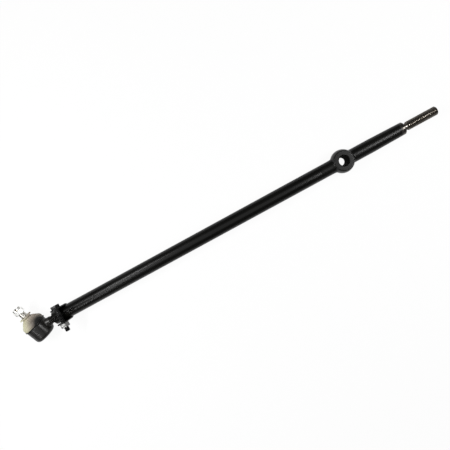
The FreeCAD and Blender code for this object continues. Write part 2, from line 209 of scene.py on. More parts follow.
def ramp(material, factor, stops):
    """A colour ramp of (position, colour) stops."""
    made = node(material, "ShaderNodeValToRGB")
    band = made.color_ramp
    while len(band.elements) < len(stops):
        band.elements.new(0.5)
    for element, (position, colour) in zip(band.elements, stops):
        element.position = position
        element.color = (*colour, 1)
    material.node_tree.links.new(factor, made.inputs["Fac"])
    return made.outputs["Color"]


def spread(material, factor, low, high, start=0.3, end=0.7):
    """A factor rescaled to a range, such as a roughness."""
    made = node(material, "ShaderNodeMapRange", From_Min=start, From_Max=end, To_Min=low, To_Max=high)
    material.node_tree.links.new(factor, made.inputs["Value"])
    return made.outputs["Result"]


def bump(material, shader, heights):
    """Stacks bumps of (height, strength, distance) on the shader's normal."""
    links = material.node_tree.links
    last = None
    for height, strength, distance in heights:
        made = node(material, "ShaderNodeBump", Strength=strength, Distance=distance)
        links.new(height, made.inputs["Height"])
        if last:
            links.new(last, made.inputs["Normal"])
        last = made.outputs["Normal"]
    links.new(last, shader.inputs["Normal"])


tube_paint, shader = new_material("tube_paint", Specular_IOR_Level=0.18)
links = tube_paint.node_tree.links
mottle = grain(tube_paint, 60, 5, (0.15, 1, 1))
drawn = grain(tube_paint, 420, 3, (0.02, 1, 1))
peel = grain(tube_paint, 900, 2)
links.new(ramp(tube_paint, mottle, [(0.3, (0.0012, 0.0012, 0.001)), (0.7, (0.0032, 0.0032, 0.0026))]),
          shader.inputs["Base Color"])
links.new(spread(tube_paint, mottle, 0.29, 0.33), shader.inputs["Roughness"])
bump(tube_paint, shader, [(drawn, 0.04, 0.0001), (peel, 0.02, 0.0001)])

link_tube = turned("link_tube_painted", [
    (tube_start_x, tapped_r),
    (tube_start_x, tube_r - tube_chamfer),
    (tube_start_x + tube_chamfer, tube_r),
    (tube_end_x - 0.4 * MM, tube_r),
    (tube_end_x, tube_r - 0.4 * MM),
    (tube_end_x, tube_bore_r),
    (tapped_end_x, tube_bore_r),
    (tapped_end_x, tapped_r),
    (tube_start_x, tapped_r),
], "X", 128)
slot = block("slot", (tube_start_x - MM, -slot_width / 2, 0), (slot_end_x, slot_width / 2, 2 * tube_r))
round_edges(slot, lambda a, b: min(a.x, b.x) > slot_end_x - MM / 10 and abs(a.z - b.z) > tube_r,
            slot_width * 0.499, 8)
combine(link_tube, slot, "DIFFERENCE")
soften(link_tube, 0.25 * MM)
link_tube.data.materials.append(tube_paint)
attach(link_tube, "link")
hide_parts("link_tube")


# Eye forging: the drop-forged eye, its bar, neck and male thread in one piece, welded
# to the tube. Painted black; the bore has dark scale, the bar's end and thread are bare.

eye_x = 714.0 * MM
eye_mid_r = 24.2 * MM
eye_face_r = 20.6 * MM
eye_half_height = 16.0 * MM
eye_hole_low_r = 8.15 * MM
eye_hole_high_r = 10.15 * MM
eye_mouth_chamfer = 1.8 * MM
web_half_height = 15.2 * MM
web_r = 16.4 * MM
web_x = 12.4 * MM
web_reach_tube = 28.0 * MM
web_reach_bar = 25.0 * MM
spigot_start_x = tube_end_x - 22.0 * MM
bar_taper_x = 779.0 * MM
bar_end_x = 854.0 * MM
bar_end_r = 12.9 * MM
bar_chamfer = 2.6 * MM
neck_r = 6.9 * MM
thread_start_x = 859.5 * MM
link_tip_x = 926.0 * MM
male_thread_r = 9.0 * MM
male_pitch = 1.5 * MM
forging_grain = 0.8 * MM
forging_passes = 12
bar_start_x = eye_x + web_reach_bar + 2 * MM
bar_r = tube_r - 0.05 * MM


def arc_points(start, end, bulge, count):
    """Points of an arc from start to end that stands off their chord by bulge, to the left."""
    a, b = Vector(start), Vector(end)
    half = (b - a).length / 2
    radius = (half ** 2 + bulge ** 2) / (2 * abs(bulge))
    left = Vector((-(b - a).y, (b - a).x)).normalized()
    side = left if bulge > 0 else -left
    centre = (a + b) / 2 - side * (radius - abs(bulge))
    sweep = 2 * math.asin(half / radius)
    turn = -sweep / count if bulge > 0 else sweep / count
    return [tuple(centre + Matrix.Rotation(turn * i, 2) @ (a - centre)) for i in range(count + 1)]


def thread(name, radius, pitch, start, end, steps=48):
    """A helical V thread along X, longer than its rod by two turns at each end."""
    root_r = radius - 0.6 * pitch
    first = start - 2 * pitch
    flank = Vector((pitch * 7 / 16, 0, radius - root_r))
    profile = [Vector((first, 0, root_r))]
    for step in (flank, Vector((pitch / 8, 0, 0)), Vector((flank.x, 0, -flank.z))):
        profile.append(profile[-1] + step)
    helix = chain(name, profile)
    bpy.ops.object.mode_set(mode="OBJECT")
    turns = math.ceil((end - start) / pitch) + 4
    modify(helix, "SCREW", axis="X", screw_offset=pitch, iterations=turns, steps=steps,
           render_steps=steps, use_merge_vertices=True, merge_threshold=pitch / 1000)
    bpy.ops.object.mode_set(mode="EDIT")
    bpy.ops.mesh.select_all(action="SELECT")
    bpy.ops.mesh.remove_doubles(threshold=pitch / 100)
    for limit, apex in ((-1, first - 2 * pitch), (1, first + (turns + 3) * pitch)):
        bpy.ops.object.mode_set(mode="EDIT")
        bpy.ops.mesh.select_mode(type="VERT")
        bpy.ops.mesh.select_all(action="DESELECT")
        bpy.ops.mesh.select_non_manifold()
        bpy.ops.object.mode_set(mode="OBJECT")
        middle = (start + end) / 2
        for vertex in helix.data.vertices:
            if (vertex.co.x - middle) * limit < 0:
                vertex.select = False
        for edge in helix.data.edges:
            edge.select = edge.select and all(helix.data.vertices[i].select for i in edge.vertices)
        bpy.ops.object.mode_set(mode="EDIT")
        bpy.ops.mesh.extrude_edges_move()
        bpy.ops.mesh.merge(type="CENTER")
        bpy.ops.object.mode_set(mode="OBJECT")
        tip = next(v for v in helix.data.vertices if v.select)
        tip.co = (apex, 0, 0)
    bpy.ops.object.mode_set(mode="EDIT")
    bpy.ops.mesh.select_all(action="SELECT")
    bpy.ops.mesh.normals_make_consistent(inside=False)
    bpy.ops.object.mode_set(mode="OBJECT")
    return helix


def threaded_rod(name, radius, pitch, start, end, chamfer, steps=48):
    """A rod along X with a helical thread, chamfered at both ends."""
    over = radius + pitch / 50
    rod = turned(name, [
        (start, 0),
        (start, over - chamfer),
        (start + chamfer, over),
        (end - chamfer, over),
        (end, over - chamfer),
        (end, 0),
    ], "X", 64)
    combine(rod, thread(name + "_helix", radius, pitch, start, end, steps), "INTERSECT")
    return rod


def forge(piece, grid, passes):
    """Runs the joined forms of a forging into each other with soft fillets."""
    modify(piece, "REMESH", mode="VOXEL", voxel_size=grid, use_smooth_shade=True)
    modify(piece, "SMOOTH", factor=0.5, iterations=passes)


forged_paint, shader = new_material("forged_paint")
links = forged_paint.node_tree.links
mottle = grain(forged_paint, 70, 5)
scale_pits = grain(forged_paint, 260, 4)
peel = grain(forged_paint, 900, 2)
spot = node(forged_paint, "ShaderNodeTexCoord")
split = node(forged_paint, "ShaderNodeSeparateXYZ")
links.new(spot.outputs["Object"], split.inputs["Vector"])
ragged = node(forged_paint, "ShaderNodeMath")
ragged.operation = "MULTIPLY_ADD"
ragged.inputs[1].default_value = 8 * MM
links.new(mottle, ragged.inputs[0])
links.new(split.outputs["X"], ragged.inputs[2])
bare = spread(forged_paint, ragged.outputs["Value"], 0, 1, bar_end_x - 8 * MM, bar_end_x - 2 * MM)
paint_colour = ramp(forged_paint, mottle, [(0.3, (0.0012, 0.0012, 0.001)), (0.7, (0.0032, 0.0032, 0.0026))])
steel_colour = ramp(forged_paint, mottle, [(0.3, (0.05, 0.046, 0.041)), (0.7, (0.09, 0.084, 0.076))])
colours = node(forged_paint, "ShaderNodeMix")
colours.data_type = "RGBA"
links.new(bare, colours.inputs["Factor"])
links.new(paint_colour, colours.inputs["A"])
links.new(steel_colour, colours.inputs["B"])
links.new(colours.outputs["Result"], shader.inputs["Base Color"])
shader.inputs["Specular IOR Level"].default_value = 0.18
links.new(bare, shader.inputs["Metallic"])
links.new(spread(forged_paint, bare, 0.34, 0.3, 0, 1), shader.inputs["Roughness"])
bump(forged_paint, shader, [(scale_pits, 0.05, 0.0003), (peel, 0.02, 0.0001)])

bore_scale, shader = new_material("bore_scale", Specular_IOR_Level=0.02, Roughness=0.8)
mottle = grain(bore_scale, 90, 4)
bore_scale.node_tree.links.new(
    ramp(bore_scale, mottle, [(0.3, (0.001, 0.001, 0.001)), (0.7, (0.004, 0.0038, 0.0034))]),
    shader.inputs["Base Color"])

thread_steel, shader = new_material("thread_steel", Metallic=1.0, Specular_Tint=(0.1, 0.1, 0.1, 1))
links = thread_steel.node_tree.links
mottle = grain(thread_steel, 120, 4, (0.3, 1, 1))
links.new(ramp(thread_steel, mottle, [(0.3, (0.11, 0.1, 0.087)), (0.7, (0.19, 0.175, 0.155))]),
          shader.inputs["Base Color"])
links.new(spread(thread_steel, mottle, 0.24, 0.3), shader.inputs["Roughness"])

side = arc_points((-eye_half_height, eye_face_r), (eye_half_height, eye_face_r), eye_mid_r - eye_face_r, 14)
eye_forging = turned("eye_forging_painted", [(-eye_half_height, 0), *side, (eye_half_height, 0)])
place(eye_forging, Matrix.Translation((eye_x, 0, 0)))
arms = turned("arms", [
    (tube_end_x - 2 * MM, 0),
    (tube_end_x - 2 * MM, tube_r),
    *arc_points((eye_x - web_reach_tube, tube_r), (eye_x - web_x, web_r), -0.5 * MM, 6),
    *arc_points((eye_x + web_x, web_r), (eye_x + web_reach_bar, tube_r), -0.5 * MM, 6),
    (bar_taper_x, tube_r),
    (bar_end_x - bar_chamfer, bar_end_r),
    (bar_end_x + 2 * MM, bar_end_r),
    (bar_end_x + 2 * MM, 0),
], "X")
trim_from = eye_x - web_reach_tube
trim_to = eye_x + web_reach_bar
top_trim = block("top_trim", (trim_from, -tube_r * 2, web_half_height), (trim_to, tube_r * 2, tube_r * 2))
low_trim = block("low_trim", (trim_from, -tube_r * 2, -tube_r * 2), (trim_to, tube_r * 2, -web_half_height))
combine(arms, top_trim, "DIFFERENCE")
combine(arms, low_trim, "DIFFERENCE")
combine(eye_forging, arms, "UNION")
forge(eye_forging, forging_grain, forging_passes)
trim = turned("trim", [
    (tube_end_x + 0.02 * MM, 0),
    (tube_end_x + 0.02 * MM, tube_r - 0.4 * MM),
    (tube_end_x + 0.42 * MM, tube_r),
    (tube_end_x + 1 * MM, 3 * tube_r),
    (bar_start_x, 3 * tube_r),
    (bar_start_x, 0),
], "X", 96)
combine(eye_forging, trim, "INTERSECT")
turned_bar = turned("turned_bar", [
    (bar_start_x - 3 * MM, 0),
    (bar_start_x - 3 * MM, tube_r - MM),
    (bar_start_x - 0.2 * MM, bar_r),
    (bar_taper_x, bar_r),
    (bar_end_x - bar_chamfer, bar_end_r),
    (bar_end_x, bar_end_r - bar_chamfer),
    (bar_end_x, neck_r),
    (thread_start_x + MM, neck_r),
    (thread_start_x + MM, 0),
], "X", 128)
combine(eye_forging, turned_bar, "UNION")
spigot = turned("spigot", [
    (spigot_start_x, 0),
    (spigot_start_x, tube_bore_r - 0.5 * MM),
    (spigot_start_x + 0.5 * MM, tube_bore_r - 0.02 * MM),
    (tube_end_x + 2 * MM, tube_bore_r - 0.02 * MM),
    (tube_end_x + 2 * MM, 0),
], "X", 64)
combine(eye_forging, spigot, "UNION")
male_thread = threaded_rod("male_thread", male_thread_r, male_pitch, thread_start_x, link_tip_x, 1.6 * MM)
combine(eye_forging, male_thread, "UNION")
bore = turned("bore", [
    (-eye_half_height - MM, 0),
    (-eye_half_height - MM, eye_hole_low_r + 1.6 * MM),
    (-eye_half_height + 0.6 * MM, eye_hole_low_r),
    (eye_half_height - eye_mouth_chamfer, eye_hole_high_r),
    (eye_half_height + MM, eye_hole_high_r + eye_mouth_chamfer + MM),
    (eye_half_height + MM, 0),
])
place(bore, Matrix.Translation((eye_x, 0, 0)))
combine(eye_forging, bore, "DIFFERENCE")
pick(eye_forging)
bpy.ops.object.shade_smooth_by_angle(angle=math.radians(38))
eye_forging.data.materials.clear()
for finish in (forged_paint, bore_scale, thread_steel):
    eye_forging.data.materials.append(finish)
for face in eye_forging.data.polygons:
    off_axis = math.hypot(face.center.x - eye_x, face.center.y)
    face.material_index = 0
    if off_axis < eye_hole_high_r + 0.2 * MM:
        face.material_index = 1
    elif face.center.x > bar_end_x - 0.1 * MM:
        face.material_index = 2
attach(eye_forging, "link")
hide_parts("eye_forging")


# Clamp strap: a 25 mm steel strip bent into a U round the slotted end. Its legs stand
# up past the tube and are drilled for the bolt that pinches the slot shut.

strap_thickness = 2.6 * MM
strap_width = 25.0 * MM
strap_fit = 0.05 * MM
clamp_x = 61.5 * MM
bolt_r = 5.0 * MM
bolt_z = tube_r + 1.2 * MM + bolt_r
strap_outer = tube_r + strap_fit + strap_thickness
strap_top = bolt_z + strap_width / 2


def drill(name, radius, reach, steps):
    """A round cutter along X that reaches as far both ways."""
    return turned(name, [(-reach, 0), (-reach, radius), (reach, radius), (reach, 0)], "X", steps)


strap_paint, shader = new_material("strap_paint", Specular_IOR_Level=0.2)
links = strap_paint.node_tree.links
mottle = grain(strap_paint, 130, 5)
rolled = grain(strap_paint, 500, 3)
links.new(ramp(strap_paint, mottle, [(0.3, (0.0012, 0.0012, 0.0012)), (0.7, (0.004, 0.004, 0.0036))]),
          shader.inputs["Base Color"])
links.new(spread(strap_paint, mottle, 0.34, 0.5), shader.inputs["Roughness"])
bump(strap_paint, shader, [(mottle, 0.03, 0.0003), (rolled, 0.02, 0.0001)])

strap_mid = strap_outer - strap_thickness / 2
start_x = clamp_x - strap_width / 2
bend = [Vector((start_x, -strap_mid * math.cos(math.pi * i / 32), -strap_mid * math.sin(math.pi * i / 32)))
        for i in range(33)]
near_end, far_end = (Vector((start_x, shading_x, strap_top)) for shading_x in (-strap_mid, strap_mid))
clamp_strap = chain("clamp_strap_bent", [near_end, *bend, far_end])
bpy.ops.mesh.select_all(action="SELECT")
bpy.ops.mesh.extrude_region_move(TRANSFORM_OT_translate={"value": (strap_width, 0, 0)})
bpy.ops.mesh.select_all(action="SELECT")
bpy.ops.mesh.normals_make_consistent(inside=False)
bpy.ops.object.mode_set(mode="OBJECT")
modify(clamp_strap, "SOLIDIFY", thickness=strap_thickness, offset=0, use_even_offset=True)
round_edges(clamp_strap, lambda a, b: min(a.z, b.z) > strap_top - MM / 10 and abs(a.y - b.y) > MM,
            strap_width * 0.49, 10)
bolt_hole = drill("bolt_hole", bolt_r + 0.4 * MM, 40 * MM, 48)
place(bolt_hole, Matrix.Translation((clamp_x, 0, bolt_z)) @ Matrix.Rotation(math.pi / 2, 4, "Z"))
combine(clamp_strap, bolt_hole, "DIFFERENCE")
soften(clamp_strap, 0.45 * MM)
clamp_strap.data.materials.append(strap_paint)
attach(clamp_strap, "link")
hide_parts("clamp_strap")


# Clamp bolt: an M10 hexagon bolt of black oxide steel, its head hard on one leg of
# the strap. The rolled thread runs out through the nut.

bolt_flats = 17.0 * MM
bolt_head_height = 6.4 * MM
clamp_nut_height = 9.0 * MM
bolt_pitch = 1.5 * MM
bolt_thread = 38.0 * MM
seat_gap = 0.02 * MM
bolt_length = 2 * (strap_outer + seat_gap) + clamp_nut_height + 9.1 * MM


def hexagon(name, flats, low, high, both=False):
    """A hexagon across flats, its corners turned off at the upper or at both ends."""
    deselect()
    corner_r = flats / math.sqrt(3)
    bpy.ops.mesh.primitive_cylinder_add(
        vertices=6, radius=corner_r, depth=high - low,
        location=(0, 0, (low + high) / 2), rotation=(0, 0, math.pi / 6))
    piece = bpy.context.object
    piece.name = name
    bpy.ops.object.transform_apply(location=True, rotation=True)
    crown_r = flats * 0.485
    clear_r = corner_r * 1.1
    drop = (clear_r - crown_r) * math.tan(math.radians(30))
    if both:
        low_end = [(low, 0), (low, crown_r), (low + drop, clear_r)]
    else:
        low_end = [(low - MM, 0), (low - MM, clear_r)]
    cone = turned(name + "_cone", [*low_end, (high - drop, clear_r), (high, crown_r), (high, 0)], "Z", 72)
    combine(piece, cone, "INTERSECT")
    return piece


bolt_steel, shader = new_material("bolt_steel", Specular_IOR_Level=0.25)
links = bolt_steel.node_tree.links
mottle = grain(bolt_steel, 220, 4)
links.new(ramp(bolt_steel, mottle, [(0.3, (0.002, 0.002, 0.0022)), (0.7, (0.006, 0.006, 0.006))]),
          shader.inputs["Base Color"])
links.new(spread(bolt_steel, mottle, 0.3, 0.45), shader.inputs["Roughness"])
bump(bolt_steel, shader, [(mottle, 0.04, 0.0002)])

clamp_bolt = hexagon("clamp_bolt_oxide", bolt_flats, 0, bolt_head_height)
place(clamp_bolt, Matrix.Rotation(math.pi / 2, 4, "Y") @ Matrix.Rotation(math.pi / 2, 4, "Z"))
shank = turned("shank", [
    (-bolt_length + bolt_thread - MM, 0),
    (-bolt_length + bolt_thread - MM, bolt_r * 0.88),
    (-bolt_length + bolt_thread + 0.4 * MM, bolt_r),
    (MM, bolt_r),
    (MM, 0),
], "X", 64)
combine(clamp_bolt, shank, "UNION")
rolled_thread = threaded_rod("rolled_thread", bolt_r, bolt_pitch,
                             -bolt_length, -bolt_length + bolt_thread,
                             1.2 * MM, 40)
combine(clamp_bolt, rolled_thread, "UNION")
place(clamp_bolt, Matrix.Translation((clamp_x, strap_outer + seat_gap, bolt_z))
      @ Matrix.Rotation(math.pi / 2, 4, "Z"))
soften(clamp_bolt, 0.2 * MM, 28)
clamp_bolt.data.materials.append(bolt_steel)
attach(clamp_bolt, "link")
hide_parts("clamp_bolt")


# Clamp nut: a plain M10 hexagon nut, bright zinc plated, on the far leg.

zinc, shader = new_material("zinc", Metallic=1.0, Specular_Tint=(0.35, 0.35, 0.35, 1))
links = zinc.node_tree.links
mottle = grain(zinc, 240, 5)
links.new(ramp(zinc, mottle, [(0.3, (0.13, 0.13, 0.128)), (0.7, (0.25, 0.25, 0.245))]),
          shader.inputs["Base Color"])
links.new(spread(zinc, mottle, 0.18, 0.3), shader.inputs["Roughness"])
bump(zinc, shader, [(mottle, 0.04, 0.0002)])

clamp_nut = hexagon("clamp_nut_zinc", bolt_flats, 0, clamp_nut_height, True)
nut_hole = turned("nut_hole", [
    (-MM, 0),
    (-MM, bolt_r + 2 * MM),
    (MM, bolt_r + seat_gap),
    (clamp_nut_height - MM, bolt_r + seat_gap),
    (clamp_nut_height + MM, bolt_r + 2 * MM),
    (clamp_nut_height + MM, 0),
], "Z", 48)
combine(clamp_nut, nut_hole, "DIFFERENCE")
place(clamp_nut, Matrix.Translation((clamp_x, -strap_outer - seat_gap, bolt_z))
      @ Matrix.Rotation(math.pi / 2, 4, "X"))
soften(clamp_nut, 0.1 * MM, 28)
clamp_nut.data.materials.append(zinc)
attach(clamp_nut, "link")
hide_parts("clamp_nut")


# Socket housing: a forged steel drum with its threaded shank in one piece, screwed
# into the tube. The drum leans back from the shank; its collar carries the boot.

housing_r = 23.0 * MM
housing_top = 7.0 * MM
housing_bottom = -25.0 * MM
housing_round = 7.5 * MM
collar_r = 20.6 * MM
collar_top = 10.6 * MM
mouth_r = 14.6 * MM
seat_top = 5.6 * MM
seat_mouth_r = 12.94 * MM
cavity_r = 17.6 * MM
cover_r = 19.2 * MM
cover_thickness = 2.4 * MM
lip_thickness = 2.6 * MM
lip_width = 3.0 * MM
shank_r = 7.94 * MM
shank_start_x = 31.0 * MM
shank_end_x = 90.0 * MM
shank_collar_r = 8.9 * MM
shank_root_r = 10.5 * MM
shank_pitch = 1.41 * MM

joints = {joint["name"]: joint for joint in frame["joints"]}
socket_axis = Vector(joints["stud_spin"]["axis"])
to_socket = Vector((0, 0, 1)).rotation_difference(socket_axis).to_matrix().to_4x4()

forging, shader = new_material("forging", Specular_IOR_Level=0.35)
links = forging.node_tree.links
mottle = grain(forging, 90, 5)
scale_pits = grain(forging, 420, 4)
links.new(ramp(forging, mottle, [(0.3, (0.004, 0.0038, 0.0034)), (0.7, (0.011, 0.01, 0.009))]),
          shader.inputs["Base Color"])
links.new(spread(forging, mottle, 0.3, 0.38), shader.inputs["Roughness"])
bump(forging, shader, [(mottle, 0.05, 0.0005), (scale_pits, 0.02, 0.0002)])

corner = [(housing_bottom + housing_round * (1 - math.cos(math.pi / 16 * i)),
           housing_r - housing_round * (1 - math.sin(math.pi / 16 * i))) for i in range(9)]
socket_housing = turned("socket_housing_forged", [
    (housing_bottom, 0),
    *corner,
    (housing_top, housing_r),
    (housing_top, 0),
])
place(socket_housing, to_socket)
neck = turned("neck", [
    (6 * MM, 0),
    (6 * MM, shank_root_r),
    *arc_points((14 * MM, shank_root_r), (28 * MM, shank_collar_r), -0.5 * MM, 6),
    (shank_start_x, shank_collar_r),
    (shank_start_x + 2 * MM, shank_collar_r),
    (shank_start_x + 2 * MM, 0),
], "X")
combine(socket_housing, neck, "UNION")
forge(socket_housing, forging_grain, forging_passes)
face_cut = turned("face_cut", [
    (housing_top - 0.6 * MM, 0),
    (housing_top - 0.6 * MM, 60 * MM),
    (30 * MM, 60 * MM),
    (30 * MM, 0),
])
place(face_cut, to_socket)
combine(socket_housing, face_cut, "DIFFERENCE")
shank_cut = block("shank_cut", (shank_start_x, -20 * MM, -20 * MM), (60 * MM, 20 * MM, 20 * MM))
combine(socket_housing, shank_cut, "DIFFERENCE")
collar = turned("collar", [
    (0, 0),
    (0, collar_r),
    (collar_top, collar_r),
    (collar_top, 0),
])
place(collar, to_socket)
combine(socket_housing, collar, "UNION")
shank_thread = threaded_rod("shank_thread", shank_r, shank_pitch,
                            shank_start_x - 2 * MM, shank_end_x, 1.4 * MM)
combine(socket_housing, shank_thread, "UNION")
cavity = turned("cavity", [
    (housing_bottom - MM, 0),
    (housing_bottom - MM, cover_r - lip_width),
    (housing_bottom + lip_thickness, cover_r - lip_width),
    (housing_bottom + lip_thickness, cover_r + seat_gap),
    (housing_bottom + lip_thickness + cover_thickness + seat_gap, cover_r + seat_gap),
    (housing_bottom + lip_thickness + cover_thickness + seat_gap, cavity_r),
    (-MM, cavity_r),
    (-MM, 14.06 * MM),
    *[(14.1 * MM * math.sin(math.radians(a)), 14.1 * MM * math.cos(math.radians(a))) for a in (0, 6, 12, 18)],
    (seat_top, seat_mouth_r),
    (collar_top, mouth_r),
    (collar_top + MM, mouth_r),
    (collar_top + MM, 0),
])
place(cavity, to_socket)
combine(socket_housing, cavity, "DIFFERENCE")
pick(socket_housing)
bpy.ops.object.shade_smooth_by_angle(angle=math.radians(38))
socket_housing.data.materials.clear()
socket_housing.data.materials.append(forging)
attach(socket_housing, "socket")
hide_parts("socket_housing")


# End cover: a pressed steel disc, dished towards the spring, which the housing's
# rolled lip holds in the closed end.

cover_dish = 1.0 * MM
cover_low = housing_bottom + lip_thickness + seat_gap
cover_high = cover_low + cover_thickness - seat_gap
dish_r = cover_r - lip_width - 3 * MM
end_cover = turned("end_cover_pressed", [
    (cover_low - cover_dish, 0),
    (cover_low - cover_dish, dish_r - 2 * MM),
    (cover_low, dish_r),
    (cover_low, cover_r),
    (cover_high, cover_r),
    (cover_high, dish_r),
    (cover_high - cover_dish, dish_r - 2 * MM),
    (cover_high - cover_dish, 0),
])
place(end_cover, to_socket)
soften(end_cover, 0.4 * MM, 20)
end_cover.data.materials.append(forging)
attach(end_cover, "socket")
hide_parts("end_cover")


# Inside the housing: the coned disc spring, the cup under the ball and the half ball
# round the stud's neck, all of plain ground steel that wears bright.

ground_steel, shader = new_material("ground_steel", Metallic=1.0)
links = ground_steel.node_tree.links
mottle = grain(ground_steel, 200, 4)
links.new(ramp(ground_steel, mottle, [(0.3, (0.3, 0.29, 0.28)), (0.7, (0.5, 0.48, 0.46))]),
          shader.inputs["Base Color"])
links.new(spread(ground_steel, mottle, 0.2, 0.35), shader.inputs["Roughness"])
bump(ground_steel, shader, [(mottle, 0.1, 0.0001)])
for name in ("disc_spring", "thrust_seat", "half_ball_bearing"):
    inner = frame["nodes"][name]
    for slot_at in range(len(inner.material_slots)):
        inner.material_slots[slot_at].material = ground_steel


# Ball stud: turned from alloy steel with its half-ball head, neck, taper and thread,
# left bright. The cotter hole crosses the thread under the nut's slots.

ball_r = 14.0 * MM
head_top = -1.5 * MM
head_bottom = -12.4 * MM
stud_neck_r = 8.2 * MM
half_ball_top = 10.0 * MM
taper_start = 19.0 * MM
taper_end = 44.0 * MM
taper_end_r = 6.5 * MM
taper_start_r = taper_end_r + (taper_end - taper_start) / 16
stud_thread_r = 6.35 * MM
stud_tip = 58.0 * MM
cotter_hole_r = 1.9 * MM
castle_bottom = 44.8 * MM
cotter_hole_at = castle_bottom + 11.85 * MM

stud_steel, shader = new_material("stud_steel", Metallic=1.0)
links = stud_steel.node_tree.links
mottle = grain(stud_steel, 160, 4)
links.new(ramp(stud_steel, mottle, [(0.3, (0.42, 0.4, 0.36)), (0.7, (0.6, 0.58, 0.53))]),
          shader.inputs["Base Color"])
links.new(spread(stud_steel, mottle, 0.22, 0.34), shader.inputs["Roughness"])
bump(stud_steel, shader, [(mottle, 0.1, 0.0001)])

low_turn = math.asin(head_bottom / ball_r)
high_turn = math.asin(head_top / ball_r)
head_arc = [low_turn + (high_turn - low_turn) * i / 12 for i in range(13)]
ball_stud = turned("ball_stud_turned", [
    (head_bottom, 0),
    *[(ball_r * math.sin(turn), ball_r * math.cos(turn)) for turn in head_arc],
    (head_top, stud_neck_r),
    (half_ball_top + MM, stud_neck_r),
    (half_ball_top + 3 * MM, taper_start_r - 0.6 * MM),
    (taper_start - MM, taper_start_r - 0.6 * MM),
    (taper_start, taper_start_r),
    (taper_end, taper_end_r),
    (taper_end + MM, stud_thread_r - 0.8 * MM),
    (taper_end + 2 * MM, stud_thread_r - 0.8 * MM),
    (taper_end + 2 * MM, 0),
])
stud_thread = threaded_rod("stud_thread", stud_thread_r, 1.27 * MM, taper_end + MM, stud_tip, 1.2 * MM)
place(stud_thread, Matrix.Rotation(-math.pi / 2, 4, "Y"))
combine(ball_stud, stud_thread, "UNION")
cotter_hole = drill("cotter_hole", cotter_hole_r, 20 * MM, 32)
place(cotter_hole, Matrix.Translation((0, 0, cotter_hole_at)))
combine(ball_stud, cotter_hole, "DIFFERENCE")
place(ball_stud, to_socket)
soften(ball_stud, 0.2 * MM, 30)
ball_stud.data.materials.append(stud_steel)
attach(ball_stud, "stud")
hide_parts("ball_stud")


# Castle nut: a slotted hexagon nut with a round crown, bright zinc plated.

castle_flats = 19.05 * MM
castle_hex = 9.4 * MM
castle_crown_r = 8.5 * MM
castle_height = 14.3 * MM
castle_slot = 3.4 * MM

bright_zinc, shader = new_material("bright_zinc", Metallic=1.0)
links = bright_zinc.node_tree.links
mottle = grain(bright_zinc, 240, 5)
links.new(ramp(bright_zinc, mottle, [(0.3, (0.74, 0.74, 0.72)), (0.7, (0.88, 0.88, 0.86))]),
          shader.inputs["Base Color"])
links.new(spread(bright_zinc, mottle, 0.32, 0.42), shader.inputs["Roughness"])

castle_nut = hexagon("castle_nut_zinc", castle_flats, 0, castle_hex, True)
crown = turned("crown", [
    (MM, 0),
    (MM, castle_crown_r),
    (castle_height - 0.8 * MM, castle_crown_r),
    (castle_height, castle_crown_r - 0.8 * MM),
    (castle_height, 0),
], "Z", 72)
combine(castle_nut, crown, "UNION")
nut_bore = turned("nut_bore", [
    (-MM, 0),
    (-MM, stud_thread_r + 2 * MM),
    (MM, stud_thread_r + seat_gap),
    (castle_height + MM, stud_thread_r + seat_gap),
    (castle_height + MM, 0),
], "Z", 64)
combine(castle_nut, nut_bore, "DIFFERENCE")
for i in range(3):
    cut = block("cut", (-castle_flats, -castle_slot / 2, castle_hex + 0.1 * MM),
                (castle_flats, castle_slot / 2, castle_height + MM))
    place(cut, Matrix.Rotation(math.radians(60 * i), 4, "Z"))
    combine(castle_nut, cut, "DIFFERENCE")
place(castle_nut, to_socket @ Matrix.Translation((0, 0, castle_bottom)))
soften(castle_nut, 0.1 * MM, 28)
castle_nut.data.materials.append(bright_zinc)
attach(castle_nut, "stud")
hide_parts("castle_nut")


# Dust boot: moulded cream rubber, with painted shade beside the shank and painted light and shade across it,
# lighter on its -X side. Its foot is stretched over the housing's collar; the body narrows onto the stud and
# ends in a lip.

boot_foot = 7.4 * MM
boot_foot_r = 23.0 * MM
boot_wall = 1.5 * MM
boot_fit = 0.3 * MM
boot_lip_r = 13.3 * MM
boot_lip_low = 31.6 * MM
boot_lip_top = 34.2 * MM
boot_shoulder_r = 19.8 * MM
boot_shoulder_at = 20.2 * MM
boot_neck_r = 9.3 * MM
boot_neck_at = 29.8 * MM
inner_neck_r = 7.81 * MM

boot_rubber, shader = new_material("boot_rubber", Specular_IOR_Level=0.3)
links = boot_rubber.node_tree.links
mottle = grain(boot_rubber, 45, 4)
skin = grain(boot_rubber, 700, 3)
# Painted shade: the cream turns near black round a point on the boot's side next to the shank, where shade
# falls, with a ragged edge from the mottle.
spot = node(boot_rubber, "ShaderNodeTexCoord")
shade_distance = node(boot_rubber, "ShaderNodeVectorMath")
shade_distance.operation = "DISTANCE"
shade_distance.inputs[1].default_value = (17.4 * MM, 7.3 * MM, 14.5 * MM)
links.new(spot.outputs["Object"], shade_distance.inputs[0])
ragged_shade_distance = node(boot_rubber, "ShaderNodeMath")
ragged_shade_distance.operation = "MULTIPLY_ADD"
ragged_shade_distance.inputs[1].default_value = 6 * MM
links.new(mottle, ragged_shade_distance.inputs[0])
links.new(shade_distance.outputs["Value"], ragged_shade_distance.inputs[2])
painted_shade = spread(boot_rubber, ragged_shade_distance.outputs["Value"], 1, 0, 14 * MM, 32 * MM)
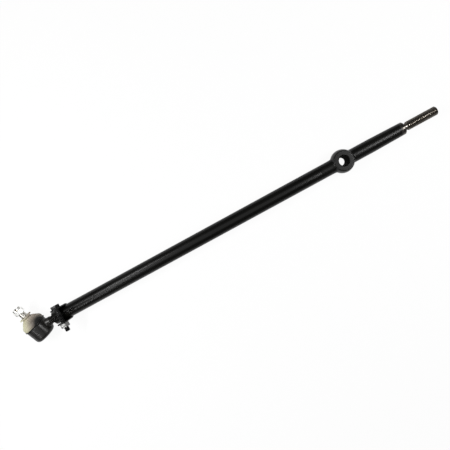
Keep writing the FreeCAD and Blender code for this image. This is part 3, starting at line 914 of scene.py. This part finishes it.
# Painted light and shade: the cream is lighter towards the boot's -X side, where the lamps fall, and darker
# and pinker towards +X.
split = node(boot_rubber, "ShaderNodeSeparateXYZ")
links.new(spot.outputs["Object"], split.inputs["Vector"])
shading_x = node(boot_rubber, "ShaderNodeMath")
shading_x.operation = "MULTIPLY_ADD"
shading_x.inputs[1].default_value = 10 * MM
links.new(mottle, shading_x.inputs[0])
links.new(split.outputs["X"], shading_x.inputs[2])
cream_and_painted_shading = ramp(boot_rubber, spread(boot_rubber, shading_x.outputs["Value"], 0, 1, -20 * MM, 20 * MM),
             [(0.2, (0.45, 0.44, 0.3)), (0.75, (0.37, 0.32, 0.265))])
# Mixes the painted shade's near black into the cream.
painted_shade_mix = node(boot_rubber, "ShaderNodeMix")
painted_shade_mix.data_type = "RGBA"
painted_shade_mix.inputs["B"].default_value = (0.006, 0.006, 0.006, 1)
links.new(painted_shade, painted_shade_mix.inputs["Factor"])
links.new(cream_and_painted_shading, painted_shade_mix.inputs["A"])
links.new(painted_shade_mix.outputs["Result"], shader.inputs["Base Color"])
links.new(spread(boot_rubber, mottle, 0.5, 0.65), shader.inputs["Roughness"])
bump(boot_rubber, shader, [(mottle, 0.25, 0.0006), (skin, 0.15, 0.0001)])

outer = [
    (boot_foot, boot_foot_r - 0.3 * MM),
    (boot_foot + 0.3 * MM, boot_foot_r),
    *arc_points((boot_foot + 2.4 * MM, boot_foot_r), (boot_shoulder_at, boot_shoulder_r), 1.9 * MM, 12),
    *arc_points((boot_shoulder_at, boot_shoulder_r), (boot_neck_at, boot_neck_r), 0.6 * MM, 6)[1:],
    (boot_lip_low, boot_neck_r),
    (boot_lip_low + 0.5 * MM, boot_lip_r),
    (boot_lip_top, boot_lip_r),
    (boot_lip_top, inner_neck_r),
]
inner = [
    (boot_neck_at - 2.2 * MM, inner_neck_r),
    *arc_points((collar_top + boot_fit, collar_r + boot_fit),
                (boot_shoulder_at - boot_wall, boot_shoulder_r - boot_wall), 1.0 * MM, 8)[::-1],
    (boot_foot, collar_r + boot_fit),
    (boot_foot, boot_foot_r - 0.3 * MM),
]
dust_boot = turned("dust_boot_moulded", outer + inner, "Z", 96)
place(dust_boot, to_socket)
soften(dust_boot, 0.2 * MM, 40)
dust_boot.data.materials.append(boot_rubber)
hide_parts("dust_boot")
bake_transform(dust_boot)


# Boot ring: a flat spring-steel band that grips the boot's foot on the collar.

ring_r = boot_foot_r + boot_fit
ring_thickness = 1.1 * MM
ring_height = 2.0 * MM

boot_ring = turned("boot_ring_band", [
    (boot_foot, ring_r),
    (boot_foot, ring_r + ring_thickness),
    (boot_foot + ring_height, ring_r + ring_thickness),
    (boot_foot + ring_height, ring_r),
    (boot_foot, ring_r),
])
place(boot_ring, to_socket)
soften(boot_ring, 0.3 * MM)
boot_ring.data.materials.append(bolt_steel)
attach(boot_ring, "socket")
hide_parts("boot_ring")


# Floor, lamps and camera: a white sheet under soft light from above, with a lamp over
# each end of the link. The camera looks almost straight down, as in the photograph.

floor_white, shader = new_material("floor_white", Roughness=0.9, Specular_IOR_Level=0.1)
links = floor_white.node_tree.links
fibre = grain(floor_white, 30, 3)
links.new(ramp(floor_white, fibre, [(0.3, (0.82, 0.82, 0.82)), (0.7, (0.86, 0.86, 0.86))]),
          shader.inputs["Base Color"])
paths = node(floor_white, "ShaderNodeLightPath")
seen = paths.outputs["Is Camera Ray"]
for kind in ("Is Glossy Ray", "Is Transmission Ray"):
    either = node(floor_white, "ShaderNodeMath")
    either.operation = "MAXIMUM"
    links.new(seen, either.inputs[0])
    links.new(paths.outputs[kind], either.inputs[1])
    seen = either.outputs["Value"]
share = node(floor_white, "ShaderNodeMath")
share.operation = "MULTIPLY"
share.inputs[1].default_value = 0.93
links.new(seen, share.inputs[0])
white = node(floor_white, "ShaderNodeEmission", Color=(1, 1, 1, 1), Strength=1.0)
mixed = node(floor_white, "ShaderNodeMixShader")
links.new(share.outputs["Value"], mixed.inputs["Fac"])
links.new(shader.outputs["BSDF"], mixed.inputs[1])
links.new(white.outputs["Emission"], mixed.inputs[2])
links.new(mixed.outputs["Shader"], floor_white.node_tree.nodes["Material Output"].inputs["Surface"])
deselect()
bpy.ops.mesh.primitive_plane_add(size=12, location=(0.45, 0, cad_low.z))
floor = bpy.context.object
floor.name = "floor"
floor.data.materials.append(floor_white)


def lamp(name, stand, aim, size, power):
    """A soft rectangular lamp, turned to what it lights."""
    deselect()
    bpy.ops.object.light_add(type="AREA", location=stand)
    made = bpy.context.object
    made.name = name
    made.data.shape = "RECTANGLE"
    made.data.size, made.data.size_y = size
    made.data.energy = power
    made.rotation_euler = (Vector(aim) - Vector(stand)).to_track_quat("-Z", "Y").to_euler()


lamp("lamp_left", (-0.22, 0.26, 0.87), (0.1, 0, 0), (0.6, 0.07), 9)
lamp("lamp_low", (-0.42, -0.5, 0.8), (0.05, 0, 0), (0.16, 0.1), 1.2)
lamp("lamp_right", (1.2, -0.08, 0.87), (0.85, 0, 0), (0.4, 0.07), 5.5)
deselect()
bpy.ops.object.light_add(type="SUN", location=(0.45, 0, 2))
sun = bpy.context.object
sun.name = "sky_light"
sun.data.energy = 0.6
sun.data.angle = math.radians(55)
sun.rotation_euler = (0, 0, 0)
world = bpy.data.worlds.new("world")
bpy.context.scene.world = world
world.use_nodes = True
world.node_tree.nodes["Background"].inputs["Color"].default_value = (1, 1, 1, 1)
world.node_tree.nodes["Background"].inputs["Strength"].default_value = 0.13

deselect()
bpy.ops.object.camera_add(
    location=(0.4762, 0.0378, 0.9194),
    rotation=(math.radians(-3.0181), math.radians(0.6625), math.radians(-28.6568)))
camera = bpy.context.object
camera.name = "camera"
camera.data.lens = 36
camera.data.sensor_width = 36
bpy.context.scene.camera = camera
bpy.context.scene.view_settings.view_transform = "Standard"
